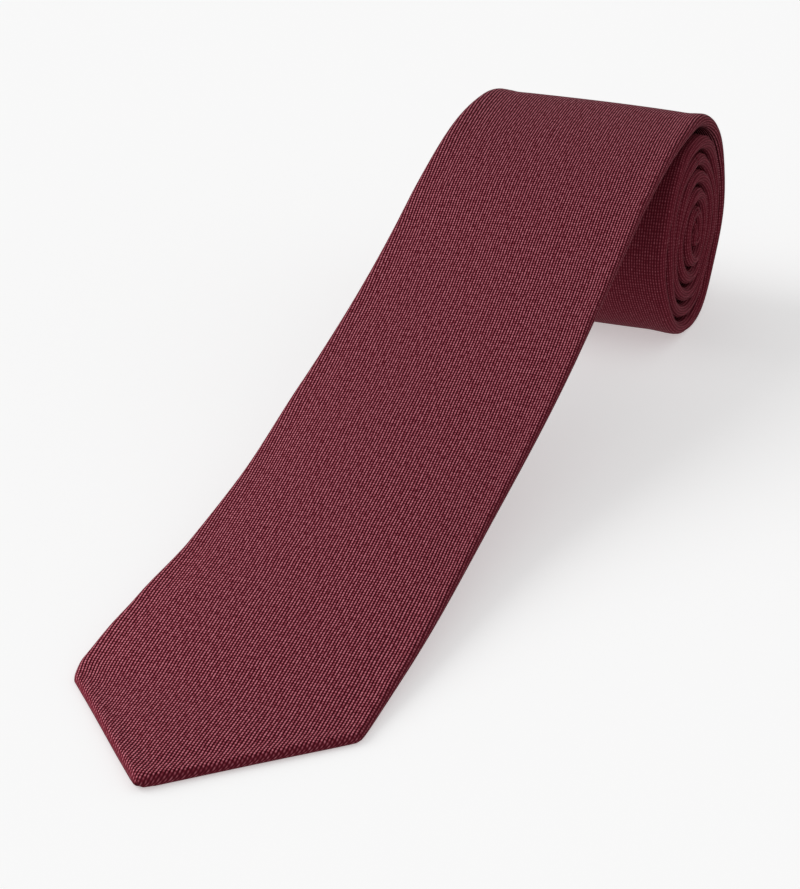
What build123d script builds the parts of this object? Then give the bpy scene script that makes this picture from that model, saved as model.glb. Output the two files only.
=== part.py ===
"""A rolled necktie: the wide blade lies flat at its tip, climbs over the roll and winds inwards.

At the eye of the roll the strip folds back on itself, so the narrow tail lies between the turns of
the wide part, back to back with it. Every layer is an offset of one centreline, which is drawn in
the YZ plane from straight runs and arcs that meet in tangents. The strip spans X. Millimetres,
+Z up, tip of the blade towards -Y, origin in the middle of the footprint on the surface below.
"""

import os
from collections import namedtuple
from math import cos, hypot, pi, radians, sin, sqrt

from build123d import *

os.makedirs("parts", exist_ok=True)

# Strip
tie_length = 1500.0
thickness = 2.75
cloth = 0.35
clear = 0.05
blade_width = 80.0
crown_width = 71.6
neck_width = 38.0
tail_width = 45.0

# Blade, from its tip to the top of the roll
flat_run = 36.0
lift_radius = 105.0
lift_angle = radians(7.6)
rise_radius = 635.0
rise_angle = radians(24.2)
crown_radius = 168.0

# Roll
crown_height = 71.8
outer_pitch = 7.2
pitch = 5.8
half_turns = 11
dome = 2.0
tail_recess = 4.0

# Centre back seam, hems and threads
seam_gap = 0.25
thread = 0.15
front_tack = 118.0
tail_tack = 75.0
tack_half_length = 0.8
tack_half_width = 3.0
front_hem = 9.0
tail_hem = 7.0
window_half = 24.0
tail_window_half = 12.0
tail_point_half = 0.3
stitch_length = 1.6
stitch_pitch = 4.0
hem_stitch_set = 0.6
thread_start = 2.0
seam_inset = 1.0
join_inset = 3.0

# Tipping behind each tip
tipping = 0.22
tipping_inset = 1.5
tipping_past_tack = 14.0
tipping_side = 8.0
tipping_end_half = 12.0
tipping_ease = 0.4
tail_tipping_past_tack = 8.0
tail_tipping_inset = 1.0
tail_tipping_short = 3.0

# Keeper loop and labels, sewn to the blade's back
keeper_place = 214.0
keeper_length = 10.0
keeper_half = 31.5
keeper_tab = 6.0
keeper_drop = 6.6
keeper_cloth = 0.9
keeper_stitch_width = 0.8
keeper_stitch_height = 0.3
label_start = 246.0
label_end = 270.0
label_half = 27.0
label_thick = 0.25
care_start = 284.0
care_end = 306.0
care_left = 3.0
care_right = 21.0
label_stitch_edge = 1.2
label_stitch_half = 0.4

half = thickness / 2
inner = half - cloth
layer = pitch / 2
tip = blade_width / 2
tail_tip = tail_width / 2
beyond_sides = 60.0

Span = namedtuple("Span", "begin y z heading length radius")


def spot(span, run, offset=0.0):
    """Point (y, z) a length `run` into a span, moved `offset` towards the strip's front face."""
    if span.radius == 0:
        turned = span.heading
        y = span.y + run * cos(turned)
        z = span.z + run * sin(turned)
    else:
        turned = span.heading + run / span.radius
        y = span.y + span.radius * (sin(turned) - sin(span.heading))
        z = span.z - span.radius * (cos(turned) - cos(span.heading))
    return (y - offset * sin(turned), z + offset * cos(turned))


def follow(path, length, radius=0.0):
    """Add a span to the path: straight, bending left (radius > 0) or right (radius < 0)."""
    last = path[-1]
    y, z = spot(last, last.length)
    heading = last.heading + (last.length / last.radius if last.radius else 0)
    path.append(Span(last.begin + last.length, y, z, heading, length, radius))


# The straight run below the rise is what the arcs leave of the height to the top of the roll.
arcs_rise = lift_radius * (1 - cos(lift_angle))
arcs_rise += rise_radius * (cos(lift_angle) - cos(rise_angle))
arcs_rise += crown_radius * (1 - cos(rise_angle))
slope_run = (crown_height - half - arcs_rise) / sin(lift_angle)
reach = flat_run + lift_radius * sin(lift_angle) + slope_run * cos(lift_angle)
reach += rise_radius * (sin(rise_angle) - sin(lift_angle)) + crown_radius * sin(rise_angle)
outer_radius = (crown_height - half) / 2
depth = reach + outer_radius + half

path = [Span(0.0, -depth / 2, half, 0.0, flat_run, 0.0)]
follow(path, lift_radius * lift_angle, lift_radius)
follow(path, slope_run)
follow(path, rise_radius * (rise_angle - lift_angle), rise_radius)
follow(path, crown_radius * rise_angle, -crown_radius)
blade_spans = len(path)

# Half turns join at the top and the bottom of the roll, each tangent to the last.
top = crown_height
bottom = half
turn_radii = []
for number in range(half_turns):
    turn_radii.append((top - bottom) / 2)
    if number % 2:
        bottom += pitch
    else:
        top -= pitch if number else outer_pitch
for radius in turn_radii:
    follow(path, pi * radius, -radius)
eye = len(path)
follow(path, pi * layer / 2, -layer / 2)
for radius in reversed(turn_radii[1:]):
    follow(path, pi * (radius - layer), radius - layer)
roll_start = path[blade_spans].begin
fold_start = path[eye].begin
fold_end = path[eye + 1].begin
path = [span for span in path if span.begin < tie_length]
path[-1] = path[-1]._replace(length=tie_length - path[-1].begin)

front_seam = path[blade_spans + 4].begin
tail_seam = path[eye - 1].begin
lining_seam = path[blade_spans + 5].begin
tail_shoulder = tie_length - tail_tip


def blend(s, start, end, low, high):
    """Value that goes evenly from low to high between two places on the strip."""
    share = min(max((s - start) / (end - start), 0.0), 1.0)
    return low + (high - low) * share


def width(s):
    """Width of the strip at a length from the tip."""
    if s <= roll_start:
        return blend(s, tip, roll_start, blade_width, crown_width)
    if s <= fold_end:
        return blend(s, roll_start, fold_start, crown_width, neck_width)
    return blend(s, fold_end, tail_shoulder, neck_width, tail_width)


def right(s):
    """Right edge of the strip: nearly flush turns, domed towards the eye of the roll."""
    edge = crown_width / 2
    if s <= fold_end:
        return edge + blend(s, roll_start, fold_start, 0.0, dome)
    return edge + blend(s, fold_end, tie_length, dome, -tail_recess)


def full(inset):
    """Both edges of the strip, moved in by an inset."""
    return lambda s: (right(s) - width(s) + inset, right(s) - inset)


def middle(reach_out):
    """A narrow stretch along the middle of the strip."""
    return lambda s: (right(s) - width(s) / 2 - reach_out, right(s) - width(s) / 2 + reach_out)


def between(start, end, reach_start, reach_end):
    """A stretch about the middle whose half width changes evenly from start to end."""

    def edges(s):
        reach_out = blend(s, start, end, reach_start, reach_end)
        return middle(reach_out)(s)

    return edges


def stretches(s0, s1):
    """The spans between two lengths, each with where the stretch starts and ends on it."""
    for span in path:
        start = max(s0, span.begin)
        end = min(s1, span.begin + span.length)
        if end - start > 0.01:
            yield span, start - span.begin, end - span.begin


def trace(span, start, end, offset):
    """Draw one offset line of a span in the current BuildLine."""
    first = spot(span, start, offset)
    final = spot(span, end, offset)
    if span.radius == 0:
        Line(first, final)
    else:
        ThreePointArc(first, spot(span, (start + end) / 2, offset), final)


def cap(span, run, low, high):
    """Draw the end of a layer across its thickness."""
    Line(spot(span, run, low), spot(span, run, high))


def free_layer(low, high, s0, s1, outline):
    """Layer of the blade before the roll, cut to an outline seen from above."""
    pieces = list(stretches(s0, min(s1, roll_start)))
    with BuildPart() as made:
        with BuildSketch(Plane.YZ.offset(-beyond_sides)):
            with BuildLine():
                for span, start, end in pieces:
                    trace(span, start, end, low)
                    trace(span, start, end, high)
                cap(pieces[0][0], pieces[0][1], low, high)
                cap(pieces[-1][0], pieces[-1][2], low, high)
            make_face()
        extrude(amount=2 * beyond_sides)
        with BuildSketch(Plane.XY.offset(-thickness)):
            with BuildLine():
                Polyline(*outline, close=True)
            make_face()
        extrude(amount=crown_height + 3 * thickness, mode=Mode.INTERSECT)
    return made.part


def overrun(gap, closing):
    """How far two edges run on past a stretch before they would meet, at most the thickness."""
    return min(thickness, 0.98 * gap / closing) if closing > 0 else thickness


def turn_layer(low, high, span, start, end, edges):
    """Layer of one stretch of the roll, whose edges run evenly along the stretch's chord."""
    y0, z0 = spot(span, start)
    y1, z1 = spot(span, end)
    chord = hypot(y1 - y0, z1 - z0)
    left0, right0 = edges(span.begin + start)
    left1, right1 = edges(span.begin + end)
    left_slope = (left1 - left0) / chord
    right_slope = (right1 - right0) / chord
    before = overrun(right0 - left0, right_slope - left_slope)
    after = overrun(right1 - left1, left_slope - right_slope)
    outline = [
        (left0 - left_slope * before, -chord / 2 - before),
        (right0 - right_slope * before, -chord / 2 - before),
        (right1 + right_slope * after, chord / 2 + after),
        (left1 + left_slope * after, chord / 2 + after),
    ]
    cut_plane = Plane(
        origin=(0, (y0 + y1) / 2, (z0 + z1) / 2),
        x_dir=(1, 0, 0),
        z_dir=(0, z0 - z1, y1 - y0),
    )
    with BuildPart() as made:
        with BuildSketch(Plane.YZ.offset(-beyond_sides)):
            with BuildLine():
                trace(span, start, end, low)
                trace(span, start, end, high)
                cap(span, start, low, high)
                cap(span, end, low, high)
            make_face()
        extrude(amount=2 * beyond_sides)
        with BuildSketch(cut_plane):
            with BuildLine():
                Polyline(*outline, close=True)
            make_face()
        extrude(amount=crown_height, both=True, mode=Mode.INTERSECT)
    return made.part


def roll_layer(low, high, s0, s1, edges):
    """Layer of the rolled strip, one solid for each stretch."""
    return [
        turn_layer(low, high, span, start, end, edges)
        for span, start, end in stretches(max(s0, roll_start), s1)
    ]


def plan(inset, end=None):
    """Outline of the blade from above, with its 90 degree tip, moved in by an inset."""
    base = -depth / 2
    end = reach + thickness if end is None else end
    shoulder = tip - inset
    slope = (blade_width - crown_width) / 2 / (reach - tip)
    shoulder_y = tip + inset * (sqrt(2) - 1)
    end_x = tip - inset - slope * (end - tip)
    return [
        (0, base + inset * sqrt(2)),
        (shoulder, base + shoulder_y),
        (end_x, base + end),
        (-end_x, base + end),
        (-shoulder, base + shoulder_y),
    ]


def slot_plan(reach_out, start, end):
    """A narrow outline along the middle of the blade, from above."""
    base = -depth / 2
    return [
        (-reach_out, base + start),
        (reach_out, base + start),
        (reach_out, base + end),
        (-reach_out, base + end),
    ]


def kite(hem, side, end):
    """Outline of the opening between the hem of the tip and the two back flaps."""
    base = -depth / 2
    start = hem * sqrt(2)
    return [
        (0, base + start),
        (side, base + start + side),
        (0, base + end),
        (-side, base + start + side),
    ]


def tipping_plan(grow=0.0):
    """Outline of the lining behind the blade's tip, cut straight across under the flaps."""
    outline = plan(tipping_inset - grow, front_tack + tipping_past_tack + grow)
    narrow = tipping_end_half + grow
    return [
        *outline[:2],
        (outline[1][0], outline[1][1] + tipping_side),
        (narrow, outline[2][1]),
        (-narrow, outline[2][1]),
        (outline[4][0], outline[4][1] + tipping_side),
        outline[4],
    ]


def hollow_turns(s0, s1, slit_end=tie_length):
    """Outer cloth of the rolled strip: two walls, folded edges and the slit of the back seam."""
    outers = roll_layer(-half, half, s0, s1, full(0.0))
    cavities = roll_layer(-inner, inner, s0, s1, full(cloth))
    slits = roll_layer(-half - clear, -inner + clear, s0, min(s1, slit_end), middle(seam_gap))
    walls = []
    for index, outer in enumerate(outers):
        wall = outer - cavities[index]
        if index < len(slits):
            wall = wall - slits[index]
        walls.append(wall)
    return walls


def save(piece, label):
    """Label a finished piece and write its file."""
    piece.part.label = label
    export_step(piece.part, f"parts/{label}.step")


# ---- Outer cloth ----------------------------------------------------------------------------

blade_outer = free_layer(-half, half, 0, roll_start, plan(0.0))
blade_cavity = free_layer(-inner, inner, 0, roll_start, plan(cloth))
blade_slit = free_layer(
    -half - clear,
    -inner + clear,
    front_tack,
    roll_start,
    slot_plan(seam_gap, front_tack, reach + thickness),
)
tip_window = free_layer(
    -half - clear, -inner + clear, 0, roll_start, kite(front_hem, window_half, front_tack)
)
front_pocket = free_layer(
    -half - clear,
    -inner + clear,
    0,
    roll_start,
    slot_plan(tack_half_width, front_tack - tack_half_length, front_tack + tack_half_length),
)
with BuildPart() as front_blade_shell:
    add(blade_outer)
    add(blade_cavity, mode=Mode.SUBTRACT)
    add(blade_slit, mode=Mode.SUBTRACT)
    add(tip_window, mode=Mode.SUBTRACT)
    add(front_pocket, mode=Mode.SUBTRACT)
    add(hollow_turns(roll_start, front_seam - seam_gap))
save(front_blade_shell, "front_blade_shell")

with BuildPart() as neck_gusset_shell:
    add(hollow_turns(front_seam + seam_gap, tail_seam - seam_gap))
save(neck_gusset_shell, "neck_gusset_shell")


def point(edge_inset, reach_start):
    """Half widths of the tail's 90 degree tip, from its shoulder to its point."""
    end = tie_length - edge_inset * sqrt(2)
    return between(tail_shoulder, end, reach_start - edge_inset, tail_point_half)


tail_tack_place = tie_length - tail_tack
tail_open = tie_length - tail_hem * sqrt(2)
tail_wide = tail_open - tail_window_half
tail_point = turn_layer(
    -half,
    half,
    path[-1],
    tail_shoulder - path[-1].begin,
    tie_length - path[-1].begin,
    point(0.0, tail_tip),
)
tail_point_cavity = turn_layer(
    -inner,
    inner,
    path[-1],
    tail_shoulder - path[-1].begin,
    tie_length - 2 * cloth - path[-1].begin,
    point(cloth, tail_tip),
)
with BuildPart() as tail_blade_shell:
    add(hollow_turns(tail_seam + seam_gap, tail_shoulder, tail_tack_place))
    add(tail_point)
    add(tail_point_cavity, mode=Mode.SUBTRACT)
    for begin, finish, reach_begin, reach_finish in (
        (tail_tack_place, tail_wide, seam_gap, tail_window_half),
        (tail_wide, tail_open, tail_window_half, seam_gap),
    ):
        add(
            roll_layer(
                -half - clear,
                -inner + clear,
                begin,
                finish,
                between(begin, finish, reach_begin, reach_finish),
            ),
            mode=Mode.SUBTRACT,
        )
    add(
        roll_layer(
            -half - clear,
            -inner + clear,
            tail_tack_place - tack_half_length,
            tail_tack_place + tack_half_length,
            middle(tack_half_width),
        ),
        mode=Mode.SUBTRACT,
    )
save(tail_blade_shell, "tail_blade_shell")

# ---- Interlining, the wool layer that gives the tie its body ---------------------------------

wool = inner - clear
wool_edge = cloth + clear
lining_top = -inner + tipping + 2 * clear
tipping_room = free_layer(-inner, lining_top, 0, roll_start, tipping_plan(tipping_ease))
with BuildPart() as front_interlining:
    add(free_layer(-wool, wool, 0, roll_start, plan(wool_edge)))
    add(tipping_room, mode=Mode.SUBTRACT)
    add(roll_layer(-wool, wool, roll_start, lining_seam - seam_gap, full(wool_edge)))
save(front_interlining, "front_interlining")

tail_lining_start = tail_tack_place - tail_tipping_past_tack
tail_room = roll_layer(
    -inner, lining_top, tail_lining_start, tail_shoulder + thickness, full(-thickness)
)
with BuildPart() as tail_interlining:
    add(roll_layer(-wool, wool, lining_seam + seam_gap, tail_shoulder, full(wool_edge)))
    add(tail_room, mode=Mode.SUBTRACT)
save(tail_interlining, "tail_interlining")

# ---- Tipping, the lining behind each tip ------------------------------------------------------

with BuildPart() as front_tipping:
    add(free_layer(-inner + clear, -inner + clear + tipping, 0, roll_start, tipping_plan()))
save(front_tipping, "front_tipping")

with BuildPart() as tail_tipping:
    add(
        roll_layer(
            -inner + clear,
            -inner + clear + tipping,
            tail_lining_start + tipping_ease,
            tail_shoulder,
            full(tail_tipping_inset),
        )
    )
    add(
        roll_layer(
            -inner + clear,
            -inner + clear + tipping,
            tail_shoulder,
            tie_length - tail_tipping_short,
            between(
                tail_shoulder,
                tie_length - tail_tipping_short,
                tail_tip - tail_tipping_inset,
                tail_tipping_short - tail_tipping_inset * sqrt(2),
            ),
        )
    )
save(tail_tipping, "tail_tipping")

# ---- Threads -----------------------------------------------------------------------------------

with BuildPart() as slip_stitch_thread:
    add(
        free_layer(
            -half + clear,
            -inner - clear,
            front_tack + thread_start,
            roll_start,
            slot_plan(thread, front_tack, reach + thickness),
        )
    )
    add(
        roll_layer(
            -half + clear,
            -inner - clear,
            roll_start,
            tail_tack_place - thread_start,
            middle(thread),
        )
    )
save(slip_stitch_thread, "slip_stitch_thread")


def seam_thread(place, low, high, inset):
    """A row of stitches across the strip, drawn as one flat thread between two panels."""
    return roll_layer(low, high, place - thread, place + thread, full(inset))


with BuildPart() as front_seam_thread:
    add(seam_thread(front_seam, inner + clear, half - clear, seam_inset))
save(front_seam_thread, "front_seam_thread")

with BuildPart() as tail_seam_thread:
    add(seam_thread(tail_seam, inner + clear, half - clear, seam_inset))
save(tail_seam_thread, "tail_seam_thread")

with BuildPart() as interlining_join_stitch:
    add(seam_thread(lining_seam, -wool / 2, wool / 2, join_inset))
save(interlining_join_stitch, "interlining_join_stitch")

tack_low = -half + clear
tack_high = -inner - clear
tack_reach = tack_half_width - clear
tack_run = tack_half_length - clear
with BuildPart() as front_bar_tack:
    add(
        free_layer(
            tack_low,
            tack_high,
            0,
            roll_start,
            slot_plan(tack_reach, front_tack - tack_run, front_tack + tack_run),
        )
    )
save(front_bar_tack, "front_bar_tack")

with BuildPart() as tail_bar_tack:
    add(
        roll_layer(
            tack_low,
            tack_high,
            tail_tack_place - tack_run,
            tail_tack_place + tack_run,
            middle(tack_reach),
        )
    )
save(tail_bar_tack, "tail_bar_tack")

# Hem stitches lie on the tipping, just inside the folded hem of each tip.
stitch_step = stitch_pitch / sqrt(2)
hem_start = (front_hem + hem_stitch_set) * sqrt(2)
front_hem_count = int((flat_run - stitch_length - hem_start) / stitch_step)
tail_hem_count = int((tail_window_half - hem_stitch_set) / stitch_step) - 1
with BuildPart() as front_hem_stitches:
    for side in (-1, 1):
        for row in range(1, front_hem_count + 1):
            out = row * stitch_step
            along = -depth / 2 + hem_start + out
            with Locations(Location((side * out, along, clear), (0, 0, side * 45))):
                Box(
                    stitch_length,
                    2 * thread,
                    cloth - 2 * clear,
                    align=(Align.CENTER, Align.CENTER, Align.MIN),
                )
save(front_hem_stitches, "front_hem_stitches")

with BuildPart() as tail_hem_stitches:
    for side in (-1, 1):
        for row in range(1, tail_hem_count + 1):
            out = row * stitch_step
            place = tail_open - hem_stitch_set * sqrt(2) - out
            line = right(place) - width(place) / 2 + side * out
            add(
                roll_layer(
                    -half + clear,
                    -inner - clear,
                    place - stitch_length / 2,
                    place + stitch_length / 2,
                    lambda s: (line - thread, line + thread),
                )
            )
save(tail_hem_stitches, "tail_hem_stitches")

# ---- Keeper loop, a band of cloth that holds the tail ------------------------------------------


def back_plane(s):
    """Plane across the strip at a length from the tip: X across, local Y away from the back."""
    span, run, _ = next(stretches(s, s + 1))
    y, z = spot(span, run)
    heading = span.heading + (run / span.radius if span.radius else 0)
    return Plane(origin=(0, y, z), x_dir=(1, 0, 0), z_dir=(0, cos(heading), sin(heading)))


keeper_plane = back_plane(keeper_place)
tab_inner = keeper_half - keeper_tab
belly = tab_inner - keeper_drop
seat = half + clear
stitch_seat = seat + keeper_cloth + clear + keeper_stitch_height / 2
with BuildPart() as keeper_loop:
    with BuildSketch(keeper_plane):
        with BuildLine():
            Polyline(
                (-keeper_half, seat),
                (-tab_inner, seat),
                (-belly, seat + keeper_drop),
                (belly, seat + keeper_drop),
                (tab_inner, seat),
                (keeper_half, seat),
                (keeper_half, seat + keeper_cloth),
                (tab_inner, seat + keeper_cloth),
                (belly, seat + keeper_drop + keeper_cloth),
                (-belly, seat + keeper_drop + keeper_cloth),
                (-tab_inner, seat + keeper_cloth),
                (-keeper_half, seat + keeper_cloth),
                close=True,
            )
        make_face()
    extrude(amount=keeper_length / 2, both=True)
save(keeper_loop, "keeper_loop")

with BuildPart() as keeper_stitches:
    with BuildSketch(keeper_plane):
        with Locations(
            (keeper_half - keeper_tab / 2, stitch_seat),
            (keeper_tab / 2 - keeper_half, stitch_seat),
        ):
            Rectangle(keeper_stitch_width, keeper_stitch_height)
    extrude(amount=keeper_length / 2 - seam_inset, both=True)
save(keeper_stitches, "keeper_stitches")

# ---- Labels, both blank ------------------------------------------------------------------------

label_low = -half - clear - label_thick
label_high = -half - clear


def across_plan(x0, x1, start, end):
    """A rectangle on the blade, from above. Its ends are cut by the layer itself."""
    base = -depth / 2
    return [(x0, base + start), (x1, base + start), (x1, base + end), (x0, base + end)]


with BuildPart() as maker_label:
    add(
        free_layer(
            label_low,
            label_high,
            label_start,
            label_end,
            across_plan(-label_half, label_half, 0, reach),
        )
    )
save(maker_label, "maker_label")

with BuildPart() as care_label:
    add(
        free_layer(
            label_low,
            label_high,
            care_start,
            care_end,
            across_plan(care_left, care_right, 0, reach),
        )
    )
save(care_label, "care_label")

with BuildPart() as label_stitches:
    for x in (-label_half + label_stitch_edge, label_half - label_stitch_edge):
        for s in (label_start + label_stitch_edge, label_end - label_stitch_edge - stitch_length):
            add(
                free_layer(
                    label_low - 2 * thread,
                    label_low - clear / 2,
                    s,
                    s + stitch_length,
                    across_plan(x - label_stitch_half, x + label_stitch_half, 0, reach),
                )
            )
save(label_stitches, "label_stitches")
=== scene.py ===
"""A burgundy twill necktie, rolled up with its wide blade lying out in front.

Every soft piece is first shaped flat, as on the maker's table: X across the tie, Y along it from
the wide tip, Z from the back towards the face, in millimetres. One mapping then bends it along
the rolled line and carries it into metres.
"""

import logging
from bisect import bisect_right
from dataclasses import dataclass, field
from enum import Enum
from math import cos, exp, hypot, pi, radians, sin, sqrt
from typing import Any, Callable

import bmesh
import bpy
from bmesh.types import BMesh, BMVert
from bpy.types import ID, Material, Node, NodeSocket, NodeTree, Object
from mathutils import Matrix, Vector


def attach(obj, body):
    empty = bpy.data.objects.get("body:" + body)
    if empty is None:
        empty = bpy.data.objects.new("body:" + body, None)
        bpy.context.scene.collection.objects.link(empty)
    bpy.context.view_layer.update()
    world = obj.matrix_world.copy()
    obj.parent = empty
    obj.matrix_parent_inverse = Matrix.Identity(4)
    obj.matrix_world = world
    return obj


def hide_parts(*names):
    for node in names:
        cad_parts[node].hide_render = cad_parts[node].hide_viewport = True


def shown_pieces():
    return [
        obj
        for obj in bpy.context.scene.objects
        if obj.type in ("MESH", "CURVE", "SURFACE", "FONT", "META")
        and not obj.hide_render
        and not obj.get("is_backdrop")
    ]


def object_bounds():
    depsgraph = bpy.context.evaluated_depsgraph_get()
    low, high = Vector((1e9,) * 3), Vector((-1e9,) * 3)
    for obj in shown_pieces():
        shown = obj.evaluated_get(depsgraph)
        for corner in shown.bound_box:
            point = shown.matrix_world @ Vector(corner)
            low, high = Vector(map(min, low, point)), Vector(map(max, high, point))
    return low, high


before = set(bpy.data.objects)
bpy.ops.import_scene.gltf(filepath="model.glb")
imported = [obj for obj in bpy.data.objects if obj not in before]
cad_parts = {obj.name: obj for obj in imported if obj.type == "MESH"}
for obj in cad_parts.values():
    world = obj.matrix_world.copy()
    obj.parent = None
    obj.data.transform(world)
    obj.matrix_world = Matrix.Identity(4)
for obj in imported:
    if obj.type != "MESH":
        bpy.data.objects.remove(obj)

Pair = tuple[float, float]
Triple = tuple[float, float, float]
Quad = tuple[float, float, float, float]

log = logging.getLogger("necktie")
CAD_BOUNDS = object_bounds()
MM = 0.001
WAVE_TURN = 2 * pi / 20
"""Period of Blender's wave texture at a scale of one, in texture units."""


# ---- Small helpers ----


def linear(code: str) -> Quad:
    """Turn an sRGB hex colour into linear red, green, blue and alpha.

    Args:
        code: Six hex digits.

    Returns:
        The linear colour, with an alpha of one.
    """
    parts = [int(code[i : i + 2], 16) / 255 for i in (0, 2, 4)]
    red, green, blue = (c / 12.92 if c <= 0.04045 else ((c + 0.055) / 1.055) ** 2.4 for c in parts)
    return red, green, blue, 1.0


def smooth(value: float) -> float:
    """Ease from 0 to 1 as value goes from 0 to 1."""
    t = min(max(value, 0.0), 1.0)
    return t * t * (3 - 2 * t)


def blend(value: float, start: float, end: float, low: float, high: float) -> float:
    """Go evenly from low to high while value goes from start to end."""
    t = min(max((value - start) / (end - start), 0.0), 1.0)
    return low + (high - low) * t


def set_sockets(node: Node, sockets: dict[str | int, Any]) -> None:
    """Set a node's inputs, each to a value or to the socket that feeds it.

    Args:
        node: The node.
        sockets: Value or source of each named or numbered input.
    """
    for name, value in sockets.items():
        if isinstance(value, NodeSocket):
            node.id_data.links.new(value, node.inputs[name])
        else:
            node.inputs[name].default_value = value


def add_node(tree: NodeTree, kind: str, sockets: dict | None = None, **settings: Any) -> Node:
    """Add one node to a tree, with its settings and links.

    Args:
        tree: The material's node tree.
        kind: Blender's name of the node type, after "ShaderNode".
        sockets: Value or source of each named or numbered input.
        settings: Attributes of the node.

    Returns:
        The new node.
    """
    node = tree.nodes.new("ShaderNode" + kind)
    for name, value in settings.items():
        setattr(node, name, value)
    set_sockets(node, sockets or {})
    return node


def new_material(name: str) -> tuple[Material, NodeTree, Node]:
    """Start a material, and give it with its node tree and its shader."""
    material = bpy.data.materials.new(name)
    material.use_nodes = True
    return material, material.node_tree, material.node_tree.nodes["Principled BSDF"]


def add_object(name: str, data: ID) -> Object:
    """Add an object to the scene."""
    thing = bpy.data.objects.new(name, data)
    bpy.context.scene.collection.objects.link(thing)
    return thing


def turned_from(place: Vector, away: Vector) -> Matrix:
    """Give the matrix of a camera or light at a place, whose back is turned to a direction."""
    return Matrix.Translation(place) @ away.to_track_quat("Z", "Y").to_matrix().to_4x4()


def map_cloth(bm: BMesh, cloth: dict[BMVert, Pair]) -> None:
    """Write the cloth coordinates that the weave reads.

    Args:
        bm: The mesh.
        cloth: Millimetres across and along the cloth at each vertex.
    """
    layer = bm.loops.layers.uv.new("cloth")
    for face in bm.faces:
        for loop in face.loops:
            loop[layer].uv = cloth[loop.vert]


# ---- The line that the strip follows ----


@dataclass(frozen=True)
class Span:
    """One straight run or arc of the line, in millimetres."""

    begin: float
    y: float
    z: float
    heading: float
    length: float
    radius: float

    def at(self, s: float) -> Triple:
        """Give the point and heading at a length along the whole line.

        Args:
            s: Length from the wide tip.

        Returns:
            Y, Z and the heading, in radians from +Y towards +Z.
        """
        run = s - self.begin
        if self.radius == 0:
            return self.y + run * cos(self.heading), self.z + run * sin(self.heading), self.heading
        turned = self.heading + run / self.radius
        y = self.y + self.radius * (sin(turned) - sin(self.heading))
        z = self.z - self.radius * (cos(turned) - cos(self.heading))
        return y, z, turned


@dataclass
class RolledLine:
    """Centre line of the strip: flat tip, rise, crown, turns, the fold at the eye and the tail."""

    depth: float
    height: float
    thickness: float = 2.75
    flat_run: float = 36.0
    lift_radius: float = 105.0
    lift_angle: float = radians(7.6)
    rise_radius: float = 635.0
    rise_angle: float = radians(24.2)
    crown_radius: float = 168.0
    outer_pitch: float = 7.2
    pitch: float = 5.8
    half_turns: int = 11
    front_seam_turn: int = 4
    lining_seam_turn: int = 5
    give: float = 0.6
    spans: list[Span] = field(default_factory=list)

    def __post_init__(self) -> None:
        """Lay the spans one after another, each tangent to the last."""
        half = self.thickness / 2
        top = self.height - half
        arcs = self.lift_radius * (1 - cos(self.lift_angle))
        arcs += self.rise_radius * (cos(self.lift_angle) - cos(self.rise_angle))
        arcs += self.crown_radius * (1 - cos(self.rise_angle))
        slope = (top - half - arcs) / sin(self.lift_angle)
        self.spans.append(Span(0.0, -self.depth / 2, half, 0.0, self.flat_run, 0.0))
        self.follow(self.lift_radius * self.lift_angle, self.lift_radius)
        self.follow(slope, 0.0)
        self.follow(self.rise_radius * (self.rise_angle - self.lift_angle), self.rise_radius)
        self.follow(self.crown_radius * self.rise_angle, -self.crown_radius)
        bottom = half
        radii: list[float] = []
        for number in range(self.half_turns):
            radii.append((top - bottom) / 2)
            if number % 2:
                bottom += self.pitch
            else:
                top -= self.pitch if number else self.outer_pitch
        self.roll_start = self.end
        starts = []
        for radius in radii:
            starts.append(self.end)
            self.follow(pi * radius, -radius)
        self.fold_start = self.end
        self.follow(pi * self.pitch / 4, -self.pitch / 4)
        self.fold_end = self.end
        for radius in reversed(radii[1:]):
            self.follow(pi * (radius - self.pitch / 2), radius - self.pitch / 2)
        self.front_seam = starts[self.front_seam_turn]
        self.lining_seam = starts[self.lining_seam_turn]
        self.tail_seam = starts[-1]
        self.begins = [span.begin for span in self.spans]

    @property
    def end(self) -> float:
        """Length of the line so far."""
        return self.spans[-1].begin + self.spans[-1].length

    def follow(self, length: float, radius: float) -> None:
        """Add a span that is tangent to the last.

        Args:
            length: Length of the span.
            radius: Its radius, above zero to bend up, below to bend down, zero for straight.
        """
        y, z, heading = self.spans[-1].at(self.end)
        self.spans.append(Span(self.end, y, z, heading, length, radius))

    def at(self, s: float) -> Triple:
        """Give Y, Z and heading at a length from the wide tip."""
        index = max(bisect_right(self.begins, s) - 1, 0)
        return self.spans[index].at(s)

    def bend(self, bm: BMesh) -> None:
        """Carry a flat mesh onto the rolled line and into metres, pressed flat by the table.

        Args:
            bm: A mesh in the flat frame, changed in place.
        """
        for vert in bm.verts:
            x, s, n = vert.co
            y, z, heading = self.at(s)
            height = z + n * cos(heading)
            if height < self.give:
                height = self.give * exp(height / self.give - 1)
            vert.co = Vector((x, y - n * sin(heading), height)) * MM


# ---- The strip's outline and thickness ----


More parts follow.
